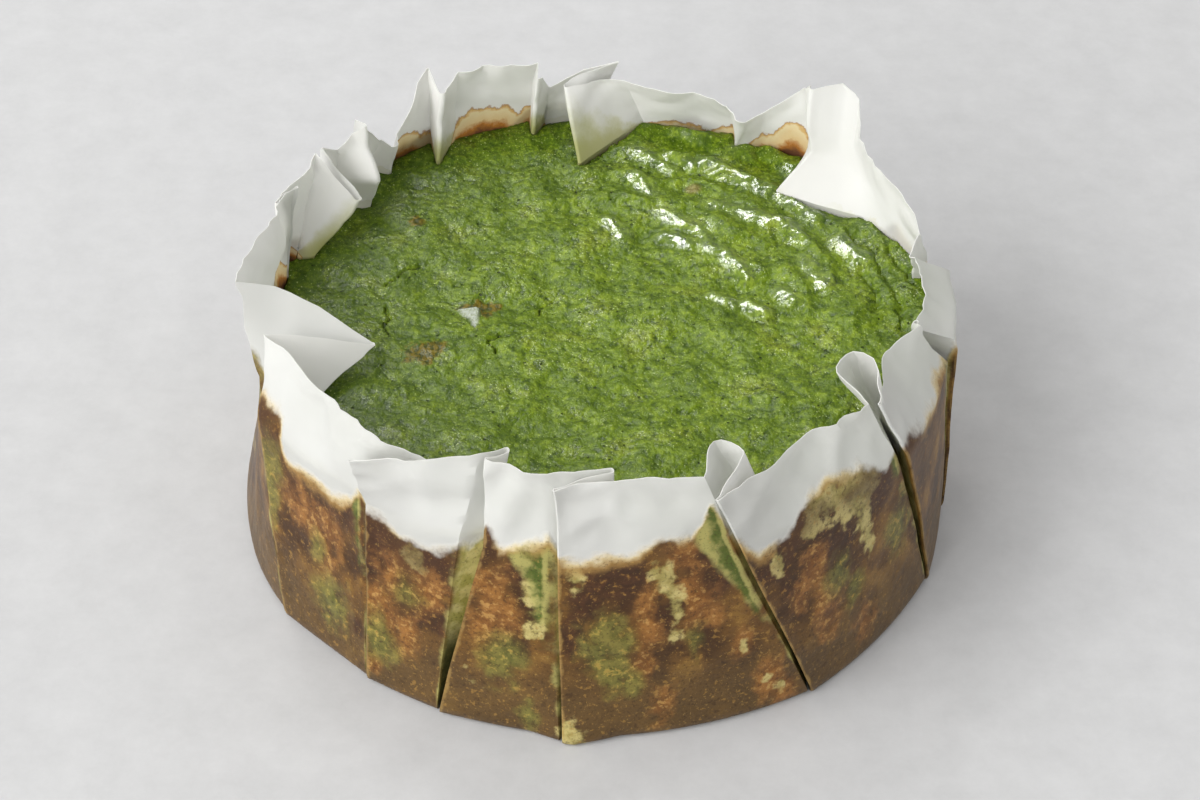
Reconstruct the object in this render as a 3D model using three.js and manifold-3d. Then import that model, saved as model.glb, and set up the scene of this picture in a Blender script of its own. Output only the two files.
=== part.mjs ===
// A basque cheesecake in the pleated sheet of baking parchment that it was baked in.
// Millimetres, +Z up. The origin is the middle of the underside.
// Angles are in degrees, counter-clockwise from +X seen from above, so the front is at 270.
import * as THREE from "three";
import { mergeVertices } from "three/addons/utils/BufferGeometryUtils.js";
import Module from "manifold-3d";

// Driving dimensions
const WALL_RADIUS = 74; // outside of the paper wall at its foot, set by the baking tin
const WALL_LEAN = 1.2; // the wall leans in this far up to the cake's top
const CAKE_HEIGHT = 47; // edge of the cake's top
const RIM_HEIGHT = 64; // cut edge of the paper
const PAPER = 0.6; // thickness of the sheet
const CLEARANCE = 0.55; // between the paper and the cake
const TUCK = 1.5; // each panel ends this far inside the edge of the panel that laps it
const FOLD = 1.2; // middle to middle of the two layers at a folded edge
const FOOT_DEPTH = 1.4; // least depth of a pleat where it starts, at the foot of the wall
const FOOT_SHARE = 0.12; // the rest of its depth there, as a share of its depth at the cake's top
const FOOT_GAP = 1.3; // width of its mouth there
const NOTCH_SIDE = 1.6; // the cake stays this far from the side of a pleat
const FACET_SAG = 0.15; // allows for the flats of the wall
const PANEL_STEPS = 5; // flats across one panel
const WALL_ROWS = 6; // rows of flats up the wall
const ROW_CROWDING = 1.6; // they lie closer together at the foot, where the pleats twist
const COLLAR_ROWS = 4; // rows of flats from the cake's top to the rim
const HOLLOW = 1.4; // dip of the cake's middle below its edge
const WRINKLE = 0.9; // height of the skin's wrinkles, trough to crest
const SHOULDER = CAKE_HEIGHT + WRINKLE / 2; // where the paper leaves the cake
const WRINKLE_LENGTH = 11; // crest to crest
const WANDER = 2; // their lines wander this far
const WANDER_LENGTH = 60; // over this length
const CROSS_LENGTH = 16; // a second set of wrinkles, crest to crest
const CROSS_SHARE = 0.4; // its share of the height
const GATHER_ANGLE = 40; // the skin gathered most at this side
const CALM = 0.3; // share of the wrinkles at the far side
const BLOCK_MARGIN = 4; // the block that gives the cake its top is this much wider than the paper
const RELIEF_RINGS = 16;
const RELIEF_SPOKES = 80;

// The pleats, counter-clockwise. foot is the angle where a pleat starts at the foot of the wall.
// At the rim the sheet turns in at mouth, doubles back at tip and comes out at edge, each given as
// [angle, radius, height above RIM_HEIGHT]. notch is the tip's [angle, radius] at the cake's top.
// bow is how far the panel after the pleat bulges out of the straight line at the rim.
const PLEATS = [
  { foot: 19, mouth: [12, 70.5, 0], tip: [16, 64, -2], edge: [21, 70, 0], notch: [16, 66], bow: 0 },
  { foot: 44, mouth: [35, 68, 0], tip: [46, 66, 2], edge: [53, 72, 1], notch: [47, 56], bow: -1 },
  { foot: 65, mouth: [60, 67, -3], tip: [63, 63, -4], edge: [67, 67, -4], notch: [66, 67], bow: 1 },
  { foot: 97, mouth: [95, 71, -1], tip: [99, 63.5, -3], edge: [101, 72, 0], notch: [96, 54], bow: 0.5 },
  { foot: 121, mouth: [116, 72, -1], tip: [121, 67, -2], edge: [122, 73, 1], notch: [124.5, 63.5], bow: 0 },
  { foot: 133, mouth: [129, 72, -7], tip: [133, 66, -8], edge: [136, 69, -4], notch: [133, 67], bow: 0 },
  { foot: 146, mouth: [141, 68, 1], tip: [152, 54, -2], edge: [149, 68, 0], notch: [150, 61], bow: 0 },
  { foot: 160, mouth: [155.5, 68, 0], tip: [158, 61, -3], edge: [161, 70, 0], notch: [161, 62], bow: 1 },
  { foot: 212, mouth: [197, 75, 2], tip: [212, 54, -2], edge: [217, 71, -2], notch: [206, 62], bow: 0 },
  { foot: 231.5, mouth: [232, 72.5, -2], tip: [242, 67, -4], edge: [232.5, 76.5, -3], notch: [240, 68.5], bow: 1 },
  { foot: 245, mouth: [250.5, 68, 1], tip: [253.5, 63.5, 1], edge: [254, 68, 0], notch: [253, 66], bow: -1 },
  { foot: 265, mouth: [262, 69.5, 0], tip: [273, 66.5, 0], edge: [263.5, 74, 1], notch: [272, 68.5], bow: -1 },
  { foot: 306, mouth: [284.5, 70, 0.5], tip: [296.5, 61, 0], edge: [286, 76, -1], notch: [299, 66], bow: -3 },
  { foot: 339, mouth: [313.5, 67.5, 2], tip: [330, 56, 0], edge: [317.5, 71, -2], notch: [331, 61], bow: -2 },
  { foot: 357, mouth: [342, 67, 2], tip: [355, 61.5, 0], edge: [351, 71.5, 1], notch: [354, 64], bow: 0.5 },
];

const mix = (a, b, share) => a + (b - a) * share;
const ease = (share) => share * share * (3 - 2 * share);
const radians = THREE.MathUtils.degToRad;
const polar = (angle, radius) => {
  return new THREE.Vector2(Math.cos(radians(angle)), Math.sin(radians(angle))).multiplyScalar(radius);
};
const wave = (length, crest) => Math.sin((2 * Math.PI * length) / crest);
const arcDegrees = (length) => THREE.MathUtils.radToDeg(length / WALL_RADIUS);

// One fold line of a pleat at a height: from its foot, past the cake's top, to the rim.
// Below the cake's top it follows the wall; above, it leans to its own place at the rim.
function foldLine(foot, shoulder, rim, share) {
  const turn = SHOULDER / RIM_HEIGHT;
  if (share <= turn) {
    const up = share / turn;
    return { angle: mix(foot[0], shoulder[0], up), radius: mix(foot[1], shoulder[1], up) };
  }
  const up = (share - turn) / (1 - turn);
  return { angle: mix(shoulder[0], rim[0], up), radius: mix(shoulder[1], rim[1], up) };
}

// The middle of the sheet, PAPER / 2 inside the outer face
const SHEET_RADIUS = WALL_RADIUS - PAPER / 2;

// Mouth, tip and edge of a pleat at a share of the rim's height
function pleatAt(pleat, share) {
  const turn = SHOULDER / RIM_HEIGHT;
  const half = arcDegrees(FOOT_GAP) / 2;
  const inner = SHEET_RADIUS - TUCK;
  const onWall = (fold) => mix(pleat.foot, fold[0], turn);
  const lower = [onWall(pleat.mouth) - half, inner - WALL_LEAN];
  const mouth = foldLine([pleat.foot - half, inner], lower, pleat.mouth, share);
  const sweep = FOOT_SHARE * Math.max(0, pleat.notch[0] - onWall(pleat.edge));
  const reach = FOOT_DEPTH + FOOT_SHARE * (inner - pleat.notch[1]);
  const tip = foldLine([pleat.foot + sweep, inner - reach], pleat.notch, pleat.tip, share);
  const upper = [onWall(pleat.edge) + half, SHEET_RADIUS - WALL_LEAN];
  const edge = foldLine([pleat.foot + half, SHEET_RADIUS], upper, pleat.edge, share);
  return { mouth, tip, edge };
}

// A folded corner is blunt, so that its two layers keep clear of each other. A positive margin
// gives the corner of something that goes round the fold at that distance.
function bluntCorner(before, corner, after, turnsLeft, margin = 0) {
  const arriving = corner.clone().sub(before).normalize();
  const leaving = after.clone().sub(corner).normalize();
  const back = leaving.sub(arriving).normalize();
  const along = turnsLeft ? new THREE.Vector2(back.y, -back.x) : new THREE.Vector2(-back.y, back.x);
  const middle = corner.clone().addScaledVector(back, -margin);
  const half = FOLD / 2 + margin;
  return [-half, half].map((shift) => middle.clone().addScaledVector(along, shift));
}

// How far up the collar a row is, from 0 at the shoulder to 1 at the rim
const collarShare = (share) => Math.max(0, (share * RIM_HEIGHT - SHOULDER) / (RIM_HEIGHT - SHOULDER));

// The sheet's middle line in plan at one row, with the rim's height at each point
function sheetPath(share) {
  const collar = collarShare(share);
  const folds = PLEATS.map((pleat) => pleatAt(pleat, share));
  const points = [];
  PLEATS.forEach((pleat, index) => {
    const { mouth, tip, edge } = folds[index];
    const follower = PLEATS[(index + 1) % PLEATS.length];
    const next = folds[(index + 1) % PLEATS.length].mouth;
    const lap = index + 1 === PLEATS.length ? 360 : 0;
    const start = polar(edge.angle, edge.radius);
    const end = polar(next.angle, next.radius);
    const panel = [];
    for (let step = 1; step < PANEL_STEPS; step += 1) {
      const across = step / PANEL_STEPS;
      const round = polar(mix(edge.angle, next.angle + lap, across), mix(edge.radius, next.radius, across));
      const flat = start.clone().lerp(end, across);
      const bulge = pleat.bow * 4 * across * (1 - across) * collar;
      const place = round.lerp(flat, ease(collar));
      place.setLength(place.length() + bulge);
      panel.push({ place, rise: mix(pleat.edge[2], follower.mouth[2], across) });
    }
    const mouthPlace = polar(mouth.angle, mouth.radius);
    const tipPlace = polar(tip.angle, tip.radius);
    points.push({ place: mouthPlace, rise: pleat.mouth[2] });
    for (const place of bluntCorner(mouthPlace, tipPlace, start, false)) {
      points.push({ place, rise: pleat.tip[2] });
    }
    for (const place of bluntCorner(tipPlace, start, panel[0].place, true)) {
      points.push({ place, rise: pleat.edge[2] });
    }
    points.push(...panel);
  });
  return points;
}

// A path moved sideways, outwards for a positive distance
function offsetPath(points, distance) {
  return points.map((point, index) => {
    const before = points[(index + points.length - 1) % points.length].place;
    const after = points[(index + 1) % points.length].place;
    const arriving = point.place.clone().sub(before).normalize();
    const leaving = after.clone().sub(point.place).normalize();
    const first = new THREE.Vector2(arriving.y, -arriving.x);
    const second = new THREE.Vector2(leaving.y, -leaving.x);
    const spread = 1 + first.dot(second);
    return point.place.clone().addScaledVector(first.add(second), distance / spread);
  });
}

// The rows of the wall and the collar as shares of the rim's height
function rowShares() {
  const turn = SHOULDER / RIM_HEIGHT;
  const wall = Array.from({ length: WALL_ROWS }, (unused, row) => turn * (row / WALL_ROWS) ** ROW_CROWDING);
  const collar = Array.from({ length: COLLAR_ROWS + 1 }, (unused, row) => mix(turn, 1, row / COLLAR_ROWS));
  return [...wall, ...collar];
}

// Rings of corners up one face of the sheet; lowest is the height of the first ring
function sheetRings(distance, lowest) {
  return rowShares().map((share, row) => {
    const points = sheetPath(share);
    const collar = collarShare(share);
    const height = row === 0 ? lowest : share * RIM_HEIGHT;
    return offsetPath(points, distance).map((place, index) => {
      return new THREE.Vector3(place.x, place.y, height + points[index].rise * collar);
    });
  });
}

// A closed surface from faces that are added ring by ring
class Surface {
  constructor() {
    this.corners = [];
    this.faces = [];
  }

  addRing(ring) {
    const first = this.corners.length;
    this.corners.push(...ring);
    return { first, count: ring.length };
  }

  addStrip(lower, upper) {
    for (let index = 0; index < lower.count; index += 1) {
      const next = (index + 1) % lower.count;
      this.faces.push([lower.first + index, lower.first + next, upper.first + next]);
      this.faces.push([lower.first + index, upper.first + next, upper.first + index]);
    }
  }

  addCap(ring, facesUp) {
    const outline = this.corners.slice(ring.first, ring.first + ring.count);
    const flat = outline.map((corner) => new THREE.Vector2(corner.x, corner.y));
    for (const face of THREE.ShapeUtils.triangulateShape(flat, [])) {
      const [a, b, c] = face.map((index) => ring.first + index);
      this.faces.push(facesUp ? [a, b, c] : [a, c, b]);
    }
  }

  geometry() {
    const geometry = new THREE.BufferGeometry();
    const numbers = this.corners.flatMap((corner) => corner.toArray());
    geometry.setAttribute("position", new THREE.Float32BufferAttribute(numbers, 3));
    geometry.setIndex(this.faces.flat());
    return geometry;
  }
}

// The sheet: outer face, cut rim, inner face and both sides of its floor
function paperGeometry() {
  const surface = new Surface();
  const outer = sheetRings(PAPER / 2, 0).map((ring) => surface.addRing(ring));
  const inner = sheetRings(-PAPER / 2, PAPER).map((ring) => surface.addRing(ring)).reverse();
  const around = [...outer, ...inner];
  for (let row = 0; row + 1 < around.length; row += 1) {
    surface.addStrip(around[row], around[row + 1]);
  }
  surface.addCap(outer[0], false);
  surface.addCap(inner[inner.length - 1], true);
  return surface.geometry();
}

// The cake's outline in plan at one row: round, with a notch where each pleat reaches in
function cakePath(share) {
  const margin = PAPER / 2 + CLEARANCE;
  const lean = WALL_LEAN * Math.min(1, (share * RIM_HEIGHT) / SHOULDER);
  const radius = SHEET_RADIUS - lean - TUCK - margin - FACET_SAG;
  const side = arcDegrees(NOTCH_SIDE);
  const notches = PLEATS.map((pleat) => {
    const { mouth, tip, edge } = pleatAt(pleat, share);
    const mouthPlace = polar(mouth.angle, mouth.radius);
    const tipPlace = polar(tip.angle, tip.radius);
    const edgePlace = polar(edge.angle, edge.radius);
    return {
      from: Math.min(mouth.angle, tip.angle) - side,
      to: Math.max(edge.angle, tip.angle) + side,
      corners: bluntCorner(mouthPlace, tipPlace, edgePlace, false, margin),
    };
  });
  return notches.flatMap((notch, index) => {
    const lap = index + 1 === notches.length ? 360 : 0;
    const end = notches[(index + 1) % notches.length].from + lap;
    const arc = Array.from({ length: PANEL_STEPS }, (unused, step) => mix(notch.to, end, step / PANEL_STEPS));
    return [polar(notch.from, radius), ...notch.corners, ...arc.map((angle) => polar(angle, radius))];
  });
}

// Everything inside the paper, to just above the cake's top
function insideGeometry() {
  const surface = new Surface();
  const shares = rowShares().slice(0, WALL_ROWS + 1);
  const heights = shares.map((share) => Math.max(share * RIM_HEIGHT, PAPER + CLEARANCE));
  const rings = shares.map((share, row) => {
    return cakePath(share).map((place) => new THREE.Vector3(place.x, place.y, heights[row]));
  });
  const top = rings[WALL_ROWS].map((corner) => corner.clone().setZ(SHOULDER + WRINKLE));
  const placed = [...rings, top].map((ring) => surface.addRing(ring));
  for (let row = 0; row + 1 < placed.length; row += 1) {
    surface.addStrip(placed[row], placed[row + 1]);
  }
  surface.addCap(placed[0], false);
  surface.addCap(placed[placed.length - 1], true);
  return surface.geometry();
}

// Height of the cake's top: hollow in the middle, with wrinkles in the skin that follow the edge and
// wander, strongest at the side where the skin sank and gathered
function topHeight(angle, radius) {
  const place = polar(angle, radius);
  const out = Math.min(1, radius / WALL_RADIUS);
  const hollow = HOLLOW * (1 - ease(out));
  const gathered = mix(CALM, 1, Math.max(0, Math.cos(radians(angle - GATHER_ANGLE))));
  const wander = WANDER * (wave(place.y, WANDER_LENGTH) + wave(place.x + place.y, WANDER_LENGTH));
  const round = wave(radius + wander, WRINKLE_LENGTH);
  const across = wave(place.x + 2 * wander, CROSS_LENGTH);
  return CAKE_HEIGHT - hollow + (WRINKLE / 2) * gathered * mix(round, across, CROSS_SHARE) * out;
}

// A round block that is wider than the cake and has the cake's top
function topBlockGeometry() {
  const surface = new Surface();
  const reach = WALL_RADIUS + BLOCK_MARGIN;
  const ringAt = (radius, heightAt) => {
    return Array.from({ length: RELIEF_SPOKES }, (unused, spoke) => {
      const angle = (360 * spoke) / RELIEF_SPOKES;
      const place = polar(angle, radius);
      return new THREE.Vector3(place.x, place.y, heightAt(angle, radius));
    });
  };
  const rings = [surface.addRing(ringAt(reach, () => 0))];
  for (let ring = RELIEF_RINGS; ring > 0; ring -= 1) {
    rings.push(surface.addRing(ringAt((reach * ring) / RELIEF_RINGS, topHeight)));
  }
  for (let row = 0; row + 1 < rings.length; row += 1) {
    surface.addStrip(rings[row], rings[row + 1]);
  }
  surface.addCap(rings[0], false);
  const last = rings[rings.length - 1];
  surface.addCap(last, true);
  return surface.geometry();
}

const solids = await Module();
solids.setup();

function toSolid(geometry) {
  const numbers = Float32Array.from(geometry.attributes.position.array);
  const corners = Uint32Array.from(geometry.index.array);
  return new solids.Manifold(new solids.Mesh({ numProp: 3, vertProperties: numbers, triVerts: corners }));
}

function toGeometry(solid) {
  const mesh = solid.getMesh();
  const geometry = new THREE.BufferGeometry();
  geometry.setAttribute("position", new THREE.Float32BufferAttribute(mesh.vertProperties, 3));
  geometry.setIndex(Array.from(mesh.triVerts));
  return mergeVertices(geometry, 1e-4);
}

function namedMesh(name, geometry, material) {
  geometry.computeVertexNormals();
  const mesh = new THREE.Mesh(geometry, material);
  mesh.name = name;
  return mesh;
}

const cakeSolid = toSolid(insideGeometry()).intersect(toSolid(topBlockGeometry()));
const cakeMaterial = new THREE.MeshStandardMaterial({ color: "#71823a", roughness: 0.55, flatShading: true });
const paperMaterial = new THREE.MeshStandardMaterial({ color: "#e4e1d8", roughness: 0.7, flatShading: true });

const group = new THREE.Group();
group.name = "basque_cheesecake";
group.add(namedMesh("cheesecake", toGeometry(cakeSolid), cakeMaterial));
group.add(namedMesh("paper_case", paperGeometry(), paperMaterial));

export default group;
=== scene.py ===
"""A basque cheesecake with a green top, in the pleated sheet of baking parchment it was baked in."""
import cmath
import math

import bpy
import numpy as np
from mathutils import Matrix, Vector, noise


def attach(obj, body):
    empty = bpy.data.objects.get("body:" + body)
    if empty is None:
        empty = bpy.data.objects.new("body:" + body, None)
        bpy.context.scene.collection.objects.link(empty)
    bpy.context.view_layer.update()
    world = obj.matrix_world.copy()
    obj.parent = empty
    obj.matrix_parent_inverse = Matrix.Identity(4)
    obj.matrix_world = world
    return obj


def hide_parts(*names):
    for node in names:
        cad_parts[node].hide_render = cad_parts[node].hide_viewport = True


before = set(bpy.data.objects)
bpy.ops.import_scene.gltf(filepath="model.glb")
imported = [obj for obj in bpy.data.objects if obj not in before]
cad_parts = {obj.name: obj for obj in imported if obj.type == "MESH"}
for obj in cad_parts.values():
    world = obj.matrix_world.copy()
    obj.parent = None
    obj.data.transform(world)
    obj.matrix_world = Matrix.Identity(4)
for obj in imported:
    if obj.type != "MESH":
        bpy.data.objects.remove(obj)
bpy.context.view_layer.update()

# Sizes in millimetres, as in the part's source. Angles are in degrees, counter-clockwise from +X.
MM = 0.001
WALL_RADIUS = 73.7
WALL_LEAN = 1.2
SHOULDER = 47.5
RIM_HEIGHT = 64.0
TUCK = 1.4
FOOT_TUCK = 0.5
FOLD = 0.6
FOOT_DEPTH = 1.4
FOOT_GAP = 0.7
FOOT_SHARE = 0.12
FOOT_ROUND = 1.0
FOOT_RISE = 3.0
PAPER = 0.16
CAKE_GAP = 0.3
# The share of the rim's height at which the free paper starts
TURN = SHOULDER / RIM_HEIGHT

# How flat the wall is between two pleats, and up to which width in degrees it is that flat
WALL_FLAT = 0.5
FLAT_SPAN = 20
# A toe of the foot at the front: angle, half width in degrees, height and depth
TOE = (267, 7, 16, 2.0)
# A swell of the wall on the left: angle, half width in degrees and depth, and how fast it starts and fades
SWELL = (186, 42, 2.8)
SWELL_START = 1.3
SWELL_FADE = 1.2
# A rounded fold is set back from its corner, and its nose comes forward again, by these shares of its width
NOSE_SET = 0.35
NOSE_BULGE = 0.4
# How fast a lip of the rim rises from either end
LIP_RISE = 3

# How the paper drifts and crumples: sizes of the lumps, and depths in the soaked wall and at the rim. Below
# the calm height it does so less and less.
CALM_HEIGHT = 12
DRIFT_SIZE = 23
DRIFT_DEPTHS = (0.3, 1.4)
FACET_SIZE = 15
FACET_SHIFT = Vector((2, 7, 3))
FACET_LEVEL = 0.4
SMALL_FACET_SIZE = 6.5
SMALL_FACET_SHARE = 0.5
FACET_DEPTHS = (0.5, 3.4)
# Places far apart in one noise, for three directions of drift
DRIFT_SHIFTS = [Vector((0.4, 2.7, 6.1)), Vector((31.7, 5.3, 11.9)), Vector((7.1, 43.3, 23.7))]

# The sheet's mesh
FIN_STEPS = 9
TIP_STEPS = 7
EDGE_STEPS = 3
PANEL_STEP = 1.5
WALL_ROWS = 30
ROW_CROWDING = 1.25
COLLAR_ROWS = 19
LEAST_STEPS = 5
# Points nearer than this many metres are one, and points lower than this many millimetres are on the floor
SAME_PLACE = 1e-6
ON_FLOOR = 0.01

# The pleats, counter-clockwise: where each starts at the foot of the wall, and where the sheet turns in
# (mouth), doubles back (tip) and comes out (edge) at the rim, as angle, radius and height above
# RIM_HEIGHT. notch is the tip at the cake's top and open the mouth and edge there; bends are bends of
# these lines in between, at a share of the free paper's height. bow is the bulge of the panel that
# follows, loop the width of the rounded tip at the rim, and lip the middle of the rim from mouth to tip
# where it isn't straight. strip is the width of the paler strip before the seam, tint how far up the fold
# has taken the cake's colour, and clean how far the stain stays down in the fold.
PLEATS = [
    dict(foot=17, mouth=(9, 65, -7.5), tip=(10, 63.5, -8), edge=(14.5, 67.8, -6), notch=(13.5, 66.5),
         open=((12, 71.8), (14.7, 70)), bends=dict(mouth=(9.5, 72.3, 0.5)), loop=0.6, clean=6),
    dict(foot=44, mouth=(40, 72, -3.5), tip=(51.5, 70, 3), edge=(53.5, 72, 1), notch=(50, 58),
         open=((33, 66), (51.3, 72.5)), bends=dict(tip=(48, 66.5, 0.36)), loop=1.5, lip=(46.5, 76, 2.4),
         tint=0.1),
    dict(foot=65, mouth=(60, 67.5, -6), tip=(63, 63.5, -7), edge=(67, 67, -6), notch=(65, 68),
         bow=1, loop=3),
    dict(foot=97, mouth=(86, 68.5, -4.5), tip=(97, 65.5, -4), edge=(87.5, 71, -1.5), notch=(95.6, 54),
         open=((83, 70.5), (91, 72.3)), loop=1.5, tint=12),
    dict(foot=105, mouth=(99.5, 70, -6), tip=(102, 66.5, -2), edge=(102.3, 69.5, 1), notch=(103.5, 67),
         loop=1, tint=6),
    dict(foot=121, mouth=(116.5, 71, 0), tip=(121, 67, -2), edge=(121.5, 72, 2), notch=(124, 64.5),
         loop=1.2, tint=8),
    dict(foot=133, mouth=(130.5, 70, -9), tip=(133, 66.5, -9), edge=(135.5, 68.5, -7), notch=(133, 68),
         loop=2),
    dict(foot=146, mouth=(141, 67.5, 2), tip=(140.6, 64.5, 2), edge=(147, 65.7, -1.5), notch=(142, 63.3),
         open=((139, 71), (149, 71)), bends=dict(tip=(144.5, 58.3, 0.5)), loop=1.5),
    dict(foot=160, mouth=(150.5, 67, 1.5), tip=(152, 57.5, -6.5), edge=(153, 67.5, 2), notch=(162.5, 61.5),
         open=((153.5, 71), (164, 64.5)), loop=1.5, tint=12),
    dict(foot=168, mouth=(162, 67.8, 0.5), tip=(167, 67, 0), edge=(161.5, 66.5, 0.5), notch=(172, 66.5),
         open=((165, 69), (169.5, 63.5)), loop=0.6),
    dict(foot=212, mouth=(189.5, 73.2, 0.5), tip=(200, 48.5, -11), edge=(199.5, 69.5, -4), notch=(207, 61),
         open=((197, 68), (206.5, 72.5)), lip=(190.5, 60, -5), bow=-1, loop=1, tint=0.1, clean=14),
    dict(foot=231.5, mouth=(231, 70, -2), tip=(242, 67, -4), edge=(232.9, 76, -3), notch=(240, 68),
         bow=1, loop=1, strip=4.4),
    dict(foot=245, mouth=(250.5, 66.5, 1), tip=(254, 62.5, 0), edge=(251.5, 67.5, 1), notch=(252.5, 67),
         open=((248.5, 71), (252.8, 72.5)), bow=-0.5, loop=1, strip=2),
    dict(foot=265, mouth=(262, 69, 0), tip=(273, 66.5, 0), edge=(263.4, 73, 1), notch=(272, 68.5),
         bow=-1, loop=1, strip=6.6),
    dict(foot=306, mouth=(285.5, 70.2, 0.5), tip=(292, 62.5, 1), edge=(286, 75.8, -1), notch=(299, 66),
         bow=-2.5, loop=6, strip=6.2),
    dict(foot=339, mouth=(320.5, 66.5, -3), tip=(326.5, 56.5, 0.5), edge=(322.5, 67.2, -4), notch=(332, 62),
         open=((324.3, 71), (325.5, 72.5)), bow=-2, loop=9, strip=2.6, clean=7),
    dict(foot=357, mouth=(344, 64.5, -3), tip=(348.5, 63.5, -6), edge=(348, 64.5, -7), notch=(354, 65),
         open=((350, 71), (353, 72.5)), bends=dict(edge=(352, 71.8, 0.45)), loop=1, clean=8),
]
# What most pleats have, and how far below nothing a strip is at the foot, as a share of its width above
STRIP = 4.0
TINT = 0.45
CLEAN = 3.0
STRIP_FOOT = 0.65
# A distance past every mark on the paper
FAR_OFF = 9.0

# Height of the stain that the cake's fat leaves in the paper, by angle
STAIN_LINE = [
    (0, 49), (12, 49), (24, 50.5), (31, 46), (38, 44.5), (45, 49), (53, 51), (59, 46.5), (66, 45),
    (74, 50), (81, 47), (88, 44), (95, 49.5), (101, 52), (108, 46), (115, 44.5), (121, 49), (128, 50.5),
    (134, 46), (141, 45), (147, 50), (155, 47.5), (161, 51), (170, 48), (180, 52), (196, 52), (206, 52),
    (210, 51), (211.8, 50), (212.8, 45), (214, 43), (222, 42.8), (226, 43.2), (228.3, 45), (230.6, 50),
    (231.6, 46.5), (235.9, 45.2), (238.5, 42.4), (244.7, 41.9), (246.8, 43), (249.7, 46), (252.5, 49.5),
    (253.6, 53), (254.2, 46.8), (256.3, 46.8), (259.3, 48.3), (263.1, 50.5), (264, 47.3), (270.4, 47.1),
    (274, 47.6), (277.2, 49.5), (280, 51), (284.5, 50.5), (285.8, 53), (287, 58.5), (289, 53),
    (291.4, 49.2), (294.7, 44), (298.3, 44.3), (301, 46), (302.6, 49.5), (305, 52), (310, 52.8),
    (315, 51.3), (318.5, 48), (321, 47), (327, 50), (334, 48), (340, 48), (344, 51), (348, 50),
    (352, 49),
]

# Blotches in the soaked wall: angle, height and size. The paler ones are where the crust held off the
# paper. All are slim, by their width as a share of their height. On the side that the photograph doesn't
# show they are drawn at random, within these angles and heights.
SPOT_SLIM = 0.6
HIDDEN_SIDE = (2, 190)
HIDDEN_HEIGHTS = (4, 46)
PALE_SPOTS = [
    (266.4, 45, 1.6), (266.9, 42.5, 1.5), (267.2, 40, 1), (278.8, 43.5, 1.7), (280.2, 42, 2),
    (281, 38.5, 1.9), (282, 35, 1.9), (282.6, 32, 1.4), (282.3, 26.5, 1.4), (240.3, 39.6, 2),
    (241.8, 38.3, 1.7), (240, 37, 1), (260, 38.5, 1.9), (260.2, 36.3, 1.7), (260.6, 28, 1.9),
    (259.8, 27, 1.2), (309, 50, 4.4), (306, 49, 3), (312.5, 49.5, 5), (316, 48, 4.6), (314.5, 45, 3.2),
    (315.5, 41, 2.6), (316.5, 37, 2.2), (317.5, 33, 1.6), (318.3, 29, 1.2), (304.2, 44.6, 1.8),
    (305.2, 42.6, 1.2), (298.3, 39.8, 1.6), (299, 37.5, 1.2), (250.8, 12, 0.8), (250.2, 15, 0.8),
    (266, 5, 1.4), (266.2, 3, 2), (267.5, 1.5, 1.8), (293.5, 19.5, 1.1), (297.5, 9, 0.9), (300, 6, 1.3),
]
GREEN_SPOTS = [
    (271.8, 28, 4.5), (270.5, 23, 4), (273, 19, 4), (276, 15, 2.6), (274, 25, 3.4), (223.5, 14, 5),
    (220.5, 26, 3.6), (234.5, 13.5, 4.4), (239.7, 29, 3.6), (255.5, 20, 4.4), (259.5, 4.5, 2.6),
    (209.5, 40, 4.5), (208.5, 31, 4.5), (311, 29, 4), (314.8, 21.5, 3), (326, 28, 4.4), (261.5, 44, 3),
    (261.5, 32, 3), (285.8, 24.5, 2.6),
]
RUST_SPOTS = [
    (216, 32, 5.5), (220, 31, 5.5), (223.5, 32, 4.5), (222, 25, 4.5), (237, 33, 4.6), (241, 30, 4.6),
    (244, 33, 3.5), (236, 20, 4.5), (239.5, 19, 4), (233.5, 23, 3), (233.5, 6, 2.2), (254, 37, 4.5),
    (256, 31, 4.5), (253, 28, 4), (277.5, 34, 3.4), (278.5, 28, 3.4), (285.5, 33, 4), (287.5, 29, 3.4),
    (284.5, 37, 3.2), (277.5, 19.5, 3.4), (293.5, 19.5, 3), (280.5, 8, 3.2), (298, 8, 4), (301, 5, 3.4),
    (306, 34, 3.4), (309, 19, 4), (307.5, 23, 3), (303, 27, 3.4), (318, 10, 3.4), (283, 47.5, 3.4),
]
DARK_SPOTS = [
    (221, 40, 5), (226, 40.5, 4), (216, 40, 4), (234.5, 38, 5), (244.5, 38, 4.6), (232.5, 32, 3.6),
    (245, 25, 3.4), (242, 24, 3), (271, 43, 5), (275, 41.5, 4.6), (268.5, 36, 3.6), (286, 43, 4.4),
    (288, 39, 3.6), (266.5, 28, 3), (280, 31, 2.6), (296.5, 40, 4.6), (308, 40, 5.4), (312, 36.5, 4),
    (301, 35, 4.6), (304, 38, 3.4), (320, 42, 3.4), (258.2, 42, 2.6), (257.5, 24, 3.2), (229.7, 12, 1.8),
]

# Caramel on the inside of the paper above the cake: angle, half width, height. A fin takes that much less.
FIN_RESIDUE = 8.0
RESIDUE = [
    (129, 7, 6.5), (123, 3, 3), (112, 9, 6.5), (104, 3, 4.5), (77, 5, 1.5), (63, 7, 5), (55, 5, 8.5),
    (174, 6, 8), (165, 2, 9),
]

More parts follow.
